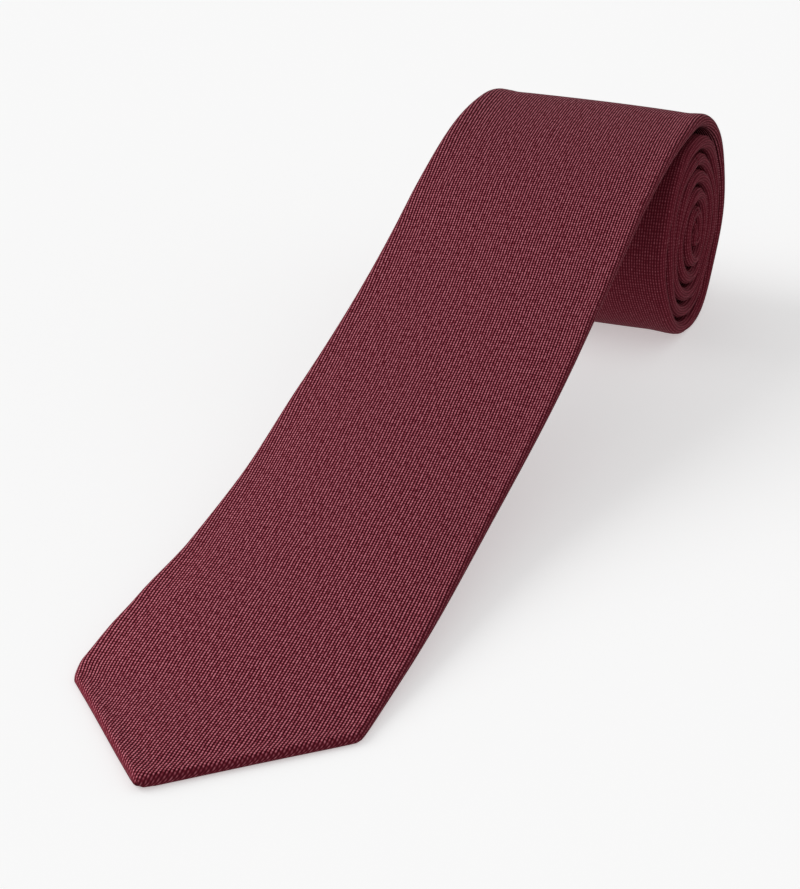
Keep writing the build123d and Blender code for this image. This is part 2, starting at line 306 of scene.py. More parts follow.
@dataclass
class StripShape:
    """Width, edges and thickness of the tie along its length, in millimetres."""

    line: RolledLine
    length: float = 1500.0
    blade_width: float = 80.0
    crown_width: float = 71.6
    neck_width: float = 38.0
    tail_width: float = 45.0
    dome: float = 2.0
    tail_recess: float = 7.5
    corner: float = 0.7
    sharp: float = 2.0
    plump: float = 0.3
    half_blade: float = 1.3
    half_tail: float = 1.22
    edge_puff: float = 0.62
    tail_press: float = 0.22
    dip: float = 0.3
    dip_inside: float = 4.2
    dip_reach: float = 2.6
    edge_reach: float = 9.0
    tip_bulk: float = 0.75
    mitre_bulk: float = 0.3
    rock: float = 0.5
    swell: float = 0.28
    crown_rise: float = 1.5
    crown_place: float = 316.0
    side_sag: float = 0.9
    left_wander: tuple[Pair, ...] = (
        (0, -1.2), (38, -1.3), (49, 0.9), (62, 1.1), (78, 0.5), (105, -1.1),
        (135, -1.2), (180, 0.2), (280, 1.0), (338, 2.6), (410, 0.8),
    )
    right_wander: tuple[Pair, ...] = (
        (0, 0.4), (70, 0.4), (148, -1.3), (215, -0.4), (340, 0.4), (385, 1.1), (450, 0.9), (620, 0.0)
    )

    def width(self, s: float) -> float:
        """Give the full width, without the pointed tips.

        Args:
            s: Length from the wide tip.

        Returns:
            The width.
        """
        line = self.line
        if s <= line.roll_start:
            return blend(s, self.blade_width / 2, line.roll_start, self.blade_width, self.crown_width)
        if s <= line.fold_end:
            return blend(s, line.roll_start, line.fold_start, self.crown_width, self.neck_width)
        return blend(
            s, line.fold_end, self.length - self.tail_width / 2, self.neck_width, self.tail_width
        )

    def half_width(self, s: float) -> float:
        """Give the half width with both 90 degree tips, whose shoulders are slightly rounded.

        Args:
            s: Length from the wide tip.

        Returns:
            The half width of the outline.
        """
        side = self.width(s) / 2
        tip = max(min(s, self.length - s), 0.0)
        if tip > side + 3 * self.corner:
            return side + self.plump
        gap = tip - side
        rounded = (tip + side - sqrt(gap * gap + self.corner * self.corner)) / 2
        return (rounded if tip > self.sharp else tip) + self.plump

    def stretch(self, s: float) -> float:
        """Give the length across the strip for each millimetre square to its slanting outline.

        Args:
            s: Length from the wide tip.

        Returns:
            One along straight edges, and the square root of two along the tips.
        """
        step = 0.2
        slope = (self.half_width(s + step) - self.half_width(s - step)) / (2 * step)
        return sqrt(1 + slope * slope)

    def wander(self, s: float, side: float) -> float:
        """Tell how far an edge of the pressed cloth strays outwards from its straight line.

        Args:
            s: Length from the wide tip.
            side: Below zero for the left edge.

        Returns:
            The distance that the edge strays.
        """
        points = self.left_wander if side < 0 else self.right_wander
        if s >= points[-1][0]:
            return points[-1][1]
        index = max(i for i, point in enumerate(points) if point[0] <= s)
        (s0, low), (s1, high) = points[index], points[index + 1]
        return (low + (high - low) * smooth((s - s0) / (s1 - s0))) * smooth(s / 40)

    def right(self, s: float) -> float:
        """Place the right edge of the full width: nearly flush turns, domed at the eye.

        Args:
            s: Length from the wide tip.

        Returns:
            Where the edge lies across the tie.
        """
        line = self.line
        edge = self.crown_width / 2
        if s <= line.roll_start:
            return self.width(s) / 2
        wander = 0.35 * sin(s / 17.0) + 0.25 * sin(s / 6.3 + 1.0)
        wander *= smooth((s - line.roll_start) / 60)
        if s <= line.fold_end:
            return edge + blend(s, line.roll_start, line.fold_start, 0.0, self.dome) + wander
        return edge + self.dome + wander - self.tail_recess * smooth((s - line.fold_end) / 18)

    def middle(self, s: float) -> float:
        """Place of the strip's middle line."""
        return self.right(s) - self.width(s) / 2

    def edge_half(self, s: float) -> float:
        """Give the half thickness of the folded edges: flat on the blade, puffed in the roll.

        Args:
            s: Length from the wide tip.

        Returns:
            The radius of the edge.
        """
        line = self.line
        puff = smooth((s - line.roll_start + 70) / 110) * smooth((line.fold_start - s) / 26)
        tail = smooth((s - line.fold_start + 26) / 26)
        return self.half_blade + self.plump + self.edge_puff * puff - self.tail_press * tail

    def mid_half(self, s: float) -> float:
        """Half thickness away from the edges."""
        return (self.half_blade if s < self.line.fold_start - 20 else self.half_tail) + self.plump

    def half_at(self, s: float, inside: float) -> float:
        """Give the half thickness inside the outline, with the dip that an iron leaves.

        Args:
            s: Length from the wide tip.
            inside: Distance from the inner side of the rounded edge.

        Returns:
            The half thickness.
        """
        edge = self.edge_half(s)
        dip = self.dip * exp(-(((inside - self.dip_inside) / self.dip_reach) ** 2))
        dip *= smooth((self.line.roll_start + 60 - s) / 60)
        return edge + (self.mid_half(s) - edge) * smooth(inside / self.edge_reach) - dip

    def bulk(self, s: float, x: float) -> float:
        """Extra height of the face over the folded layers at the wide point."""
        folded = self.tip_bulk * exp(-((s / 13.0) ** 2)) * exp(-((x / 11.0) ** 2))
        return folded + self.mitre_bulk * exp(-((x / 0.8) ** 2)) * exp(-((s / 3.5) ** 2))

    def ease(self, s: float, x: float) -> float:
        """Add the slow waves of the resting cloth, its raised crown and its sagging sides.

        Args:
            s: Length from the wide tip.
            x: Place across the strip.

        Returns:
            Height above the line.
        """
        free = smooth(s / 60) * smooth((self.line.roll_start + 10 - s) / 90)
        share = x / (self.blade_width / 2)
        rock = self.rock * sin(s / 31.0 + 0.6) * share
        rest = free * (rock + self.swell * sin(s / 19.0 + 2.4 * share))
        crown = exp(-(((s - self.crown_place) / 30.0) ** 2)) * max(-share, 0.0) ** 2
        sag = self.side_sag * share * share * smooth(s / 90)
        return rest + self.crown_rise * crown - sag


class Opening(Enum):
    """How the back of a tube of cloth closes."""

    SEAM = "seam"
    CLOSED = "closed"


@dataclass
class Tube:
    """A stretch of the strip as one folded cloth, from flap to flap round the face."""

    shape: StripShape
    start: float
    end: float
    step: float
    inset: float = 0.0
    slim: float = 0.0
    back_lift: float = 0.0
    opening: Opening = Opening.SEAM
    front_columns: int = 34
    edge_columns: int = 16
    back_columns: int = 12
    tack: float = 118.0
    window_half: float = 24.0
    hem: float = 12.7
    tail_tack: float = 75.0
    tail_window_half: float = 12.0
    tail_hem: float = 10.0
    lap: float = 0.9
    slit: float = 0.05
    fold_reach: float = 0.9
    fold_tuck: float = 0.42
    under_tuck: float = 0.32
    upper_lift: float = 0.14
    crease: float = 0.3
    crease_reach: float = 4.2
    crease_pitch: float = 1.5
    # Pressing and painted shade: how far the folded edges and the rolled turns are muted and darkened.
    fold_press_and_shade: float = 0.6
    roll_press_and_shade: float = 0.7

    def flap(self, s: float) -> float:
        """Give the half width of the opening between the flaps, below zero where they lap.

        Args:
            s: Length from the wide tip.

        Returns:
            Distance from the middle line to the free edge of a flap.
        """
        if self.opening is Opening.CLOSED:
            return 0.0
        tail = self.shape.length - s
        for run, tack, hem, half in (
            (s, self.tack, self.hem, self.window_half),
            (tail, self.tail_tack, self.tail_hem, self.tail_window_half),
        ):
            if run < tack:
                return max(min(run - hem, half * (tack - run) / (tack - (hem + half))), self.slit)
        near = min(s - self.tack, tail - self.tail_tack)
        return self.slit - (self.lap + self.slit) * smooth(near / 8)

    def section(self, s: float) -> list[Pair]:
        """Give the cross-section at a length, from the under flap round the face to the upper flap.

        Args:
            s: Length from the wide tip.

        Returns:
            Points across and through the strip, relative to its middle line.
        """
        shape = self.shape
        half_width = max(shape.half_width(s) - self.inset, 0.02)
        stretch = shape.stretch(s)
        rim = shape.edge_half(s) - self.slim
        rim = min(rim, half_width / stretch * 0.72)
        core = half_width - rim * stretch
        flap = min(self.flap(s), core * 0.96)

        def depth_at(x: float) -> float:
            """Give the half thickness at a place across, which never drops below the edge's."""
            inside = (half_width - abs(x)) / stretch
            full = shape.half_at(s, inside - rim) - self.slim
            return min(full, max(rim, rim + (full - rim) * smooth((inside - rim) / 2)))

        def back(side: float, index: int) -> Pair:
            """Give one point of a flap.

            Args:
                side: Below zero for the under flap, above for the upper one.
                index: Column, from the free edge outwards.

            Returns:
                The point across and through the strip.
            """
            x = flap + (core - flap) * (index / self.back_columns)
            n = -depth_at(x) + self.back_lift * smooth((self.tack + 14 - s) / 2)
            if self.opening is Opening.SEAM:
                n += self.fold_tuck * (1 - smooth((x - flap) / self.fold_reach))
                lapped = smooth(-flap / self.lap)
                if side < 0:
                    n += self.under_tuck * (1 - smooth((x + self.lap) / 3.4)) * lapped
                else:
                    n -= self.upper_lift * (1 - smooth((x + self.lap) / 4.5)) * lapped
            return side * x, n

        turns = [pi * index / self.edge_columns for index in range(self.edge_columns)]
        face = [-core + 2 * core * index / self.front_columns for index in range(self.front_columns)]
        points = [back(-1, index) for index in range(self.back_columns)]
        points += [(-(core + rim * stretch * sin(turn)), -rim * cos(turn)) for turn in turns]
        points += [(x, depth_at(x)) for x in face]
        points += [(core + rim * stretch * sin(turn), rim * cos(turn)) for turn in turns]
        return points + [back(1, index) for index in range(self.back_columns, -1, -1)]

    def pucker(self, s: float, round_edge: float) -> float:
        """Give the fine creases where a folded edge is bent at the top and foot of a turn.

        Args:
            s: Length from the wide tip.
            round_edge: Distance round the cloth from the nearer fold.

        Returns:
            Height of the crease, above or below zero.
        """
        line = self.shape.line
        if not line.roll_start + 20 < s < line.fold_start:
            return 0.0
        bend = abs(cos(line.at(s)[2])) ** 5
        tight = blend(s, line.roll_start, line.fold_start, 0.75, 1.25)
        inside = exp(-((round_edge / self.crease_reach) ** 2))
        wave = sin(2 * pi * round_edge / self.crease_pitch + 0.05 * s)
        return self.crease * bend * tight * inside * wave

    def press_and_shade(self, s: float, round_edge: float) -> float:
        """Tell how much pressing and painted shade the cloth takes, which mute its ribs and darken their
        tone: on the folded edges, which turn away from the light, and over the rolled turns, which lie in
        shade.

        Args:
            s: Length from the wide tip.
            round_edge: Distance round the cloth from the nearer fold.

        Returns:
            Zero for loose cloth, up to one.
        """
        rolled = smooth((s - self.shape.line.roll_start - 20) / 60)
        folded = (self.fold_press_and_shade + 0.2 * rolled) * (1 - smooth((round_edge - 0.9 - rolled) / 1.6))
        return max(folded, self.roll_press_and_shade * rolled)

    def build(self) -> BMesh:
        """Make the tube as a flat mesh with its cloth coordinates.

        Returns:
            A mesh in the flat frame, whose UV map holds millimetres across and along the cloth.
        """
        shape = self.shape
        columns = len(self.section((self.start + self.end) / 2)) - 1
        rows = max(2, int((self.end - self.start) / self.step))
        bm = bmesh.new()
        bmesh.ops.create_grid(bm, x_segments=columns, y_segments=rows, size=0.5)
        # Mask of pressing and painted shade for each vertex, which the twill reads to mute and darken its
        # ribs.
        press_and_shade_layer = bm.verts.layers.float.new("press_and_shade")
        cloth: dict[BMVert, Pair] = {}
        by_row: dict[int, list[tuple[int, BMVert]]] = {}
        left_fold = self.back_columns + self.edge_columns // 2
        right_fold = left_fold + self.edge_columns + self.front_columns
        for vert in bm.verts:
            row = round((vert.co.y + 0.5) * rows)
            column = round((vert.co.x + 0.5) * columns)
            by_row.setdefault(row, []).append((column, vert))
        for row, verts in by_row.items():
            s = self.start + (self.end - self.start) * row / rows
            s = min(max(s, 0.03), shape.length - 0.03)
            points = self.section(s)
            middle = shape.middle(s)
            run = [0.0]
            for (x0, n0), (x1, n1) in zip(points, points[1:]):
                run.append(run[-1] + hypot(x1 - x0, n1 - n0))
            centre = run[self.back_columns + self.edge_columns + self.front_columns // 2]
            widest = max(shape.half_width(s), 0.1)
            for column, vert in verts:
                x, n = points[column]
                across = min(abs(run[column] - run[left_fold]), abs(run[column] - run[right_fold]))
                crease = self.pucker(s, across) if self.opening is Opening.SEAM else 0.0
                size = max(hypot(x, n), 0.001)
                side = 1.0 if x > 0 else -1.0
                x += crease * side * 0.8
                n += crease * (n / size if abs(x) < 2 else (1.0 if n > 0 else -1.0) * 0.5)
                stray = shape.wander(s, x) * min(abs(x) / widest, 1.0) ** 3
                height = shape.ease(s, x) + shape.bulk(s, x) * smooth((n + 1.3) / 2.0)
                vert.co = Vector((middle + x + stray * side, s, n + height))
                cloth[vert] = (run[column] - centre, s)
                vert[press_and_shade_layer] = self.press_and_shade(s, across)
        map_cloth(bm, cloth)
        return bm


# ---- Finishes ----


@dataclass(frozen=True)
class Twill:
    """Silk and wool twill: fine raised ribs of pale thread over a dark ground, with a soft sheen. The pale
    rib tops are partly a painted sheen highlight, and the dark ground partly painted shade between the
    ribs.
    """

    name: str = "silk_wool_twill"
    shade: str = "2b040b"
    body: str = "812a39"
    light: str = "de8795"
    gloss_tint: str = "e0a0aa"
    sheen_tint: str = "d9a9ae"
    rib_mm: float = 0.865
    rib_turn: float = radians(-4.1)
    float_mm: float = 1.0
    drift_mm: float = 0.9
    dash: float = 0.55
    slub: float = 1.7
    # How much the mask of pressing and painted shade mutes the ribs, and the flat, darker tone of that
    # painted shade.
    mute_and_shade: float = 0.85
    muted_shade_tone: float = 0.4
    roughness: float = 0.62
    specular: float = 0.04
    sheen: float = 0.02
    bump: float = 0.5
    relief_mm: float = 0.16

    def make(self) -> Material:
        """Build the woven material on the cloth's own coordinates in millimetres.

        Returns:
            The material.
        """
        material, tree, shader = new_material(self.name)
        place = add_node(tree, "UVMap", uv_map="cloth").outputs[0]
        turn = {"Vector": place, "Rotation": (0.0, 0.0, self.rib_turn)}
        turned = add_node(tree, "Mapping", turn).outputs[0]
        # A slight wander keeps the ribs from looking ruled.
        drift = add_node(tree, "TexNoise", {"Vector": turned, "Scale": 0.045, "Detail": 1.0}).outputs["Fac"]
        drift = {0: drift, 1: self.drift_mm, 2: -self.drift_mm / 2}
        drift = add_node(tree, "Math", drift, operation="MULTIPLY_ADD").outputs[0]
        shift = add_node(tree, "CombineXYZ", {"X": drift}).outputs[0]
        woven = add_node(tree, "VectorMath", {0: turned, 1: shift}, operation="ADD").outputs[0]
        rib = {"Vector": woven, "Scale": WAVE_TURN / self.rib_mm, "Distortion": 0.0}
        ribs = add_node(tree, "TexWave", rib, bands_direction="X").outputs["Fac"]
        # Each thread floats over a few crossings, then dives: short dashes along the ribs.
        floating = {
            "Vector": woven,
            "Scale": WAVE_TURN / self.float_mm,
            "Distortion": 2.2,
            "Detail": 1.0,
            "Detail Scale": 1.4,
        }
        floats = add_node(tree, "TexWave", floating, bands_direction="Y").outputs["Fac"]
        dash = {0: floats, 1: self.dash, 2: 0.5}
        dashes = add_node(tree, "Math", dash, operation="MULTIPLY_ADD").outputs[0]
        lifted = add_node(tree, "Math", {0: ribs, 1: dashes}, operation="MULTIPLY").outputs[0]
        # Uneven yarn: some floats are paler than their neighbours.
        squeezed = add_node(tree, "Mapping", {"Vector": woven, "Scale": (1.15, 0.62, 1.0)}).outputs[0]
        spun = {"Vector": squeezed, "Scale": 1.0, "Detail": 2.0, "Roughness": 0.7}
        slub = add_node(tree, "TexNoise", spun).outputs["Fac"]
        slub = add_node(tree, "Math", {0: slub, 1: self.slub, 2: 0.03}, operation="MULTIPLY_ADD").outputs[0]
        height = add_node(tree, "Math", {0: lifted, 1: slub}, operation="MULTIPLY").outputs[0]
        tone = add_node(tree, "Math", {0: height, 1: 1.0, 2: 0.04}, operation="MULTIPLY_ADD").outputs[0]
        # Ironed folds and tightly rolled turns, lying on one another, show the ribs less; the flat, darker
        # tone that they take is also painted shade, on folds that turn away from the light and on the
        # rolled turns in shade.
        press_and_shade = add_node(tree, "Attribute", attribute_name="press_and_shade").outputs["Fac"]
        mute_and_shade = add_node(tree, "Math", {0: press_and_shade, 1: self.mute_and_shade}, operation="MULTIPLY").outputs[0]
        tone = add_node(tree, "Mix", {0: mute_and_shade, 2: tone, 3: self.muted_shade_tone}, data_type="FLOAT").outputs[0]
        # The pale stop stands partly for the silk's sheen on the rib tops, a painted highlight; the dark
        # stop stands partly for the shade between the ribs.
        ramp = add_node(tree, "ValToRGB", {"Fac": tone})
        stops = ramp.color_ramp.elements
        stops[0].position, stops[0].color = 0.1, linear(self.shade)
        stops[1].position, stops[1].color = 0.92, linear(self.light)
        stops.new(0.45).color = linear(self.body)
        flatter = {0: mute_and_shade, 1: -0.2, 2: self.bump}
        strength = add_node(tree, "Math", flatter, operation="MULTIPLY_ADD").outputs[0]
        rise = {"Height": height, "Strength": strength, "Distance": self.relief_mm * MM}
        finish = {
            "Base Color": ramp.outputs["Color"],
            "Normal": add_node(tree, "Bump", rise).outputs[0],
            "Roughness": self.roughness,
            "Specular IOR Level": self.specular,
            "Specular Tint": linear(self.gloss_tint),
            "Sheen Weight": self.sheen,
            "Sheen Roughness": 0.45,
            "Sheen Tint": linear(self.sheen_tint),
        }
        set_sockets(shader, finish)
        return material


@dataclass(frozen=True)
class PlainCloth:
    """A plain woven or felted cloth: fine crossed threads and a little fluff."""

    name: str
    shade: str
    light: str
    thread_mm: float
    roughness: float
    sheen: float
    bump: float = 0.3
    relief_mm: float = 0.1

    def make(self) -> Material:
        """Build the material on the cloth's own coordinates in millimetres.

        Returns:
            The material.
        """
        material, tree, shader = new_material(self.name)
        place = add_node(tree, "UVMap", uv_map="cloth").outputs[0]
        thread = {"Vector": place, "Scale": WAVE_TURN / self.thread_mm, "Distortion": 0.8}
        warp, weft = (
            add_node(tree, "TexWave", thread, bands_direction=way).outputs["Fac"]
            for way in "XY"
        )
        crossed = add_node(tree, "Math", {0: warp, 1: weft}, operation="MULTIPLY").outputs[0]
        fluff = add_node(tree, "TexNoise", {"Vector": place, "Scale": 0.6, "Detail": 4.0}).outputs["Fac"]
        mixed = add_node(tree, "Math", {0: crossed, 1: 0.5, 2: fluff}, operation="MULTIPLY_ADD").outputs[0]
        ramp = add_node(tree, "ValToRGB", {"Fac": mixed})
        dark, pale = ramp.color_ramp.elements
        dark.position, dark.color = 0.3, linear(self.shade)
        pale.position, pale.color = 0.85, linear(self.light)
        rise = {"Height": mixed, "Strength": self.bump, "Distance": self.relief_mm * MM}
        finish = {
            "Base Color": ramp.outputs["Color"],
            "Normal": add_node(tree, "Bump", rise).outputs[0],
            "Roughness": self.roughness,
            "Sheen Weight": self.sheen,
        }
        set_sockets(shader, finish)
        return material


@dataclass(frozen=True)
class Yarn:
    """Twisted sewing thread: slanting plies that catch the light."""

    name: str = "twisted_silk_thread"
    shade: str = "3d121b"
    light: str = "8a4550"
    ply_mm: float = 0.45
    relief_mm: float = 0.05
    roughness: float = 0.5

    def make(self) -> Material:
        """Build the material on object coordinates.

        Returns:
            The material.
        """
        material, tree, shader = new_material(self.name)
        place = add_node(tree, "TexCoord").outputs["Object"]
        twist = {"Vector": place, "Scale": WAVE_TURN / (self.ply_mm * MM)}
        plies = add_node(tree, "TexWave", twist, bands_direction="DIAGONAL").outputs["Fac"]
        ramp = add_node(tree, "ValToRGB", {"Fac": plies})
        dark, pale = ramp.color_ramp.elements
        dark.color, pale.color = linear(self.shade), linear(self.light)
        rise = {"Height": plies, "Strength": 0.4, "Distance": self.relief_mm * MM}
        finish = {
            "Base Color": ramp.outputs["Color"],
            "Normal": add_node(tree, "Bump", rise).outputs[0],
            "Roughness": self.roughness,
        }
        set_sockets(shader, finish)
        return material


WOOL = PlainCloth("brushed_wool_felt", "b3a993", "ded6c4", 1.4, 0.95, 0.3)
"""Thick brushed wool: pale and matt, with a blurred weave and a soft fuzz of light."""
LINING = PlainCloth("acetate_satin_lining", "3c0f1a", "642633", 0.35, 0.42, 0.1)
"""Acetate satin: very fine threads that lie smooth and give a low, even gloss."""
LABEL = PlainCloth("woven_satin_label", "26262c", "3d3d46", 0.5, 0.4, 0.1)
"""Woven ribbon: near black, with fine crossed threads and a slight gloss."""


# ---- Pieces ----


def finish_piece(bm: BMesh, name: str, material: Material, slot: str, *nodes: str) -> Object:
    """Turn a bent mesh into a piece that rides on the tie and stands for CAD nodes.

    Args:
        bm: The finished mesh, in metres. It is freed.
        name: Name of the piece.
        material: Its finish.
        slot: The record's material slot; not used.
        nodes: The CAD nodes that it stands for.

    Returns:
        The new object.
    """
    mesh = bpy.data.meshes.new(name)
    bm.to_mesh(mesh)
    bm.free()
    mesh.materials.append(material)
    piece = add_object(name, mesh)
    for polygon in mesh.polygons:
        polygon.use_smooth = True
    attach(piece, "root")
    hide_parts(*nodes)
    log.info("%s: %d faces", name, len(mesh.polygons))
    return piece


def thicken(piece: Object, thickness: float) -> None:
    """Give a sheet its thickness, inwards from its outer face.

    Args:
        piece: A sheet whose faces point outwards.
        thickness: Thickness of the cloth in millimetres.
    """
    solid = piece.modifiers.new("cloth", "SOLIDIFY")
    solid.thickness = thickness * MM
    solid.offset = -1.0
    solid.use_rim = True


@dataclass
class OuterCloth:
    """The three panels of twill that make the outside of the tie."""

    shape: StripShape
    cloth_mm: float = 0.35
    seam_gap: float = 0.12
    weld: float = 0.002
    cut_share: float = 2.1

    def panel(self, name: str, start: float, end: float, step: float, material: Material) -> Object:
        """Build one panel as a folded tube of cloth.

        Args:
            name: Name of the piece and of the CAD node it stands for.
            start: Where it starts, from the wide tip.
            end: Where it ends.
            step: Spacing of its rows.
            material: The twill.

        Returns:
            The panel.
        """
        bm = Tube(self.shape, start, end, step).build()
        bmesh.ops.remove_doubles(bm, verts=bm.verts, dist=self.weld)
        self.shape.line.bend(bm)
        piece = finish_piece(bm, name + "_cloth", material, "outer_cloth", name)
        thicken(piece, self.cloth_mm)
        return piece

    def build(self, material: Material) -> None:
        """Args:
            material: The twill.
        """
        shape, line, gap = self.shape, self.shape.line, self.seam_gap
        for name, start, end, inner, outer, step in (
            ("front_blade_shell", 0.0, line.front_seam, 0.0, gap, 1.8),
            ("neck_gusset_shell", line.front_seam, line.tail_seam, gap, gap, 1.3),
            ("tail_blade_shell", line.tail_seam, shape.length, gap, 0.0, 1.4),
        ):
            piece = self.panel(name, start + inner, end - outer, step, material)
            cut = self.cut_share * (max(shape.width(start), shape.width(end)) * MM)
            both_faces = (shape.width(start) + shape.width(end)) * MM


@dataclass
class Interlining:
    """The two lengths of wool that fill the cloth and give the tie its body."""

    shape: StripShape
    gap: float = 0.25
    tip_gap: float = 1.2
    inset: float = 1.0
    slim: float = 0.92
    tipping_lift: float = 0.3

    def length(
        self, name: str, start: float, end: float, lift: float, material: Material
    ) -> None:
        """Args:
            name: The CAD node that it stands for.
            start: Where it starts, from the wide tip.
            end: Where it ends.
            lift: How much thinner it is where the tipping lies below it.
            material: The wool.
        """
        bm = Tube(
            self.shape, start, end, 3.0, self.inset, self.slim, lift, Opening.CLOSED,
            front_columns=16, edge_columns=6, back_columns=7,
        ).build()
        close_ends(bm)
        self.shape.line.bend(bm)
        bmesh.ops.recalc_face_normals(bm, faces=bm.faces)
        if bm.calc_volume(signed=True) < 0:
            bmesh.ops.reverse_faces(bm, faces=bm.faces)
        piece = finish_piece(bm, name + "_wool", material, "interlining_wool", name)
        widths = [self.shape.width(start), self.shape.width(end)]

    def build(self, material: Material) -> None:
        """Build both lengths, which meet inside the neck.

        Args:
            material: The wool.
        """
        seam = self.shape.line.lining_seam
        tail_end = self.shape.length - self.shape.tail_width / 2
        front_end = seam - self.gap
        self.length("front_interlining", self.tip_gap, front_end, self.tipping_lift, material)
        self.length("tail_interlining", seam + self.gap, tail_end, 0.0, material)


def close_ends(bm: BMesh) -> None:
    """Weld the side seam of a tube and fill its two ends."""
    bmesh.ops.remove_doubles(bm, verts=bm.verts, dist=0.01)
    bmesh.ops.holes_fill(bm, edges=[edge for edge in bm.edges if edge.is_boundary])


@dataclass
class Patch:
    """A flat piece of thin cloth on the strip: a lining, a label or a band."""

    start: float
    end: float
    rows: int
    columns: int
    sides: Callable[[float], Pair]
    depth: Callable[[float, float], float]

    def build(self, line: RolledLine) -> BMesh:
        """Shape a grid to the patch's outline and bend it along the line.

        Args:
            line: The line that it follows.

        Returns:
            The mesh in metres, facing down as it lies on the tie's back.
        """
        bm = bmesh.new()
        bmesh.ops.create_grid(bm, x_segments=self.columns, y_segments=self.rows, size=0.5)
        for vert in bm.verts:
            s = self.start + (self.end - self.start) * (vert.co.y + 0.5)
            left, right = self.sides(s)
            x = left + (right - left) * (vert.co.x + 0.5)
            vert.co = Vector((x, s, self.depth(x, s)))
        map_cloth(bm, {vert: (vert.co.x, vert.co.y) for vert in bm.verts})
        bmesh.ops.remove_doubles(bm, verts=bm.verts, dist=0.01)
        line.bend(bm)
        bmesh.ops.reverse_faces(bm, faces=bm.faces)
        return bm


@dataclass
class Tipping:
    """Smooth lining behind each tip, seen in the opening between the flaps."""

    shape: StripShape
    depth: float = 0.72
    cloth_mm: float = 0.2
    inset: float = 1.6
    tip: float = 44.0
    widest: float = 38.0
    front_end: float = 131.0
    tail_start: float = 1417.5

    def front_sides(self, s: float) -> Pair:
        """Give the edges of the front lining, which follows the tip and then narrows.

        Args:
            s: Length from the wide tip.

        Returns:
            Where its left and right edges lie.
        """
        hem = self.inset * sqrt(2) * smooth((self.tip - s) / 8)
        reach = min(self.shape.half_width(s) - hem - 0.4, self.widest)
        reach = min(reach, 12 + max(self.front_end - self.tip - s, 0.0) * 0.42 + 3)
        return -max(reach, 0.05), max(reach, 0.05)

    def tail_sides(self, s: float) -> Pair:
        """Give the left and right edges of the tail lining."""
        reach = max(self.shape.half_width(s) - self.inset, 0.05)
        return self.shape.middle(s) - reach, self.shape.middle(s) + reach

    def front_depth(self, x: float, s: float) -> float:
        """Place the front lining between the flaps and the wool."""
        return -self.depth + self.shape.ease(s, x)

    def tail_depth(self, x: float, s: float) -> float:
        """Place the tail lining, which ripples slightly."""
        return -self.depth + 0.04 * sin(x * 0.4) * sin(s * 0.3)

    def build(self, material: Material) -> None:
        """Build both linings.

        Args:
            material: The satin.
        """
        shape = self.shape
        tip = self.inset * sqrt(2) + 0.1
        front = Patch(tip, self.front_end, 60, 40, self.front_sides, self.front_depth)
        tail_end = shape.length - self.inset * 2
        tail = Patch(self.tail_start, tail_end, 50, 30, self.tail_sides, self.tail_depth)
        for name, patch, flat, area in (
            ("front_tipping", front, (0.077, 0.13), 0.0052),
            ("tail_tipping", tail, (0.043, 0.08), 0.0028),
        ):
            bm = patch.build(shape.line)
            piece = finish_piece(bm, name + "_satin", material, "tipping_lining", name)
            thicken(piece, self.cloth_mm)


@dataclass
class Stitching:
    """Every row of stitches: each stitch is one short plump float of thread."""

    shape: StripShape
    thickness: float = 0.34
    slip_pitch: float = 8.5
    seam_pitch: float = 2.5
    hem_pitch: float = 2.8
    bar_pitch: float = 0.34

    def on_back(self, x: float, s: float, turn: float) -> Quad:
        """Place a stitch on the back of the tie, from its middle line."""
        depth = -self.shape.mid_half(0) - 0.03 + self.shape.ease(s, x)
        return self.shape.middle(s) + x, s, depth, turn

    def row(self, name: str, spots: list[Quad], length: float, material: Material) -> None:
        """Build a row of equal stitches as one piece.

        Args:
            name: The CAD node that it stands for.
            spots: Across, along, through and turn of each stitch, in millimetres and radians.
            length: Length of each stitch.
            material: The thread.
        """
        bm = bmesh.new()
        for x, s, n, turn in spots:
            place = (
                Matrix.Translation((x, s, n))
                @ Matrix.Rotation(turn, 4, "Z")
                @ Matrix.Diagonal((self.thickness, length, self.thickness * 0.8, 1))
            )
            bmesh.ops.create_uvsphere(bm, u_segments=8, v_segments=6, radius=0.5, matrix=place)
        self.shape.line.bend(bm)
        finish_piece(bm, name + "_sewn", material, "thread", name)

    def build(self, material: Material) -> None:
        """Build all the rows.

        Args:
            material: The thread.
        """
        shape, line = self.shape, self.shape.line
        tail, pitch = shape.length, self.slip_pitch
        count = int((tail - 200) / pitch)
        slips = [self.on_back(-1.15, 122 + pitch * i, 0.5) for i in range(count)]
        self.row("slip_stitch_thread", slips, 2.4, material)
        pitch = self.seam_pitch
        for name, s, reach in (
            ("front_seam_thread", line.front_seam, 24.0),
            ("tail_seam_thread", line.tail_seam, 17.0),
        ):
            count = int(2 * reach / pitch)
            places = (shape.middle(s) + (i + 0.5 - count / 2) * pitch for i in range(count))
            self.row(name, [(x, s, 1.08, pi / 2) for x in places], 2.2, material)
        s = line.lining_seam
        zigzag = [(shape.middle(s) - 20 + 2 * i, s, 0.0, 0.7 * (-1) ** i) for i in range(21)]
        self.row("interlining_join_stitch", zigzag, 3.0, material)
        for name, s in (("front_bar_tack", 118.0), ("tail_bar_tack", tail - 75)):
            bar = [self.on_back(-2.9 + self.bar_pitch * i, s, 0.04 * (-1) ** i) for i in range(18)]
            self.row(name, bar, 1.7, material)
        pitch = self.hem_pitch
        for name, begin, way, count in (
            ("front_hem_stitches", 14.9, 1, 7),
            ("tail_hem_stitches", tail - 11.8, -1, 3),
        ):
            hem = [
                self.on_back(side * pitch * i, begin + way * pitch * i, -way * side * pi / 4)
                for side in (-1, 1)
                for i in range(1, count + 1)
            ]
            self.row(name, hem, 1.6, material)


